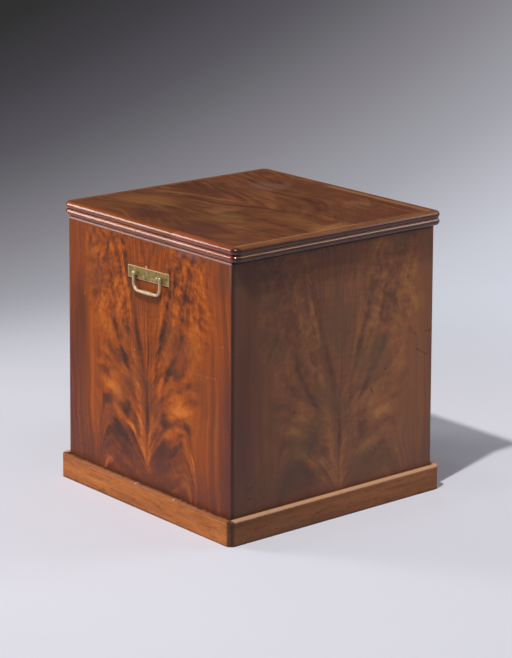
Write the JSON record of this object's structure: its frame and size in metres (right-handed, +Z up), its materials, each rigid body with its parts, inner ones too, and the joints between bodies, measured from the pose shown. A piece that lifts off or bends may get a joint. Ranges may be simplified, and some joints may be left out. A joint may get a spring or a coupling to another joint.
{
  "type": "wine cooler",
  "caption": "Square mahogany chest on a plinth with a hinged reeded lid, brass bail handles and a zinc-lined inside for bottles and ice.",
  "frame": {"origin": "centre of the plinth's footprint, on the floor", "axes": "+Z up, -Y towards the front, +X to the right seen from the front; the lid is hinged along the back, at +Y"},
  "size_m": [0.474, 0.474, 0.4943],
  "materials": {
    "flame_mahogany": "old french-polished flame veneer, worn at the edges",
    "solid_mahogany": "polished solid mahogany",
    "faded_mahogany": "faded and rubbed solid mahogany",
    "pine": "bare old pine",
    "zinc": "dull zinc sheet",
    "handle_brass": "aged brass, greenish in the hollows",
    "hinge_brass": "dull brass",
    "iron": "dark iron"
  },
  "bodies": {
    "case": {"case_front": "pine", "case_back": "pine", "case_left": "pine", "case_right": "pine", "case_bottom": "pine", "glue_blocks": "pine", "veneer_front": "flame_mahogany", "veneer_back": "flame_mahogany", "veneer_left": "flame_mahogany", "veneer_right": "flame_mahogany", "plinth_front": "faded_mahogany", "plinth_back": "faded_mahogany", "plinth_left": "faded_mahogany", "plinth_right": "faded_mahogany", "rim_front": "solid_mahogany", "rim_back": "solid_mahogany", "rim_left": "solid_mahogany", "rim_right": "solid_mahogany", "zinc_lining": "zinc", "lining_tacks": "iron", "hinge_left_case_leaf": "hinge_brass", "hinge_right_case_leaf": "hinge_brass", "hinge_left_pin": "iron", "hinge_right_pin": "iron", "hinge_case_screws": "iron", "handle_left_plate": "handle_brass", "handle_left_screws": "iron", "handle_right_plate": "handle_brass", "handle_right_screws": "iron"},
    "lid": {"lid_core": "pine", "lid_top_veneer": "flame_mahogany", "lid_backing_veneer": "solid_mahogany", "lid_edge_front": "solid_mahogany", "lid_edge_back": "solid_mahogany", "lid_edge_left": "solid_mahogany", "lid_edge_left_repair": "solid_mahogany", "lid_edge_right": "solid_mahogany", "hinge_left_lid_leaf": "hinge_brass", "hinge_right_lid_leaf": "hinge_brass", "hinge_lid_screws": "iron"},
    "left_bail": {"handle_left_bail": "handle_brass"},
    "right_bail": {"handle_right_bail": "handle_brass"}
  },
  "joints": [
    {"name": "lid_hinge", "type": "hinge", "parent": "case", "child": "lid", "pos_m": [0, 0.226, 0.47015], "axis": [-1, 0, 0], "range_deg": [0, 97]},
    {"name": "left_bail_pivot", "type": "hinge", "parent": "case", "child": "left_bail", "pos_m": [-0.23, -0.0055, 0.4075], "axis": [0, 0.9997, -0.0262], "range_deg": [-2, 182]},
    {"name": "right_bail_pivot", "type": "hinge", "parent": "case", "child": "right_bail", "pos_m": [0.23, 0, 0.4075], "axis": [0, -1, 0], "range_deg": [-2, 182]}
  ]
}
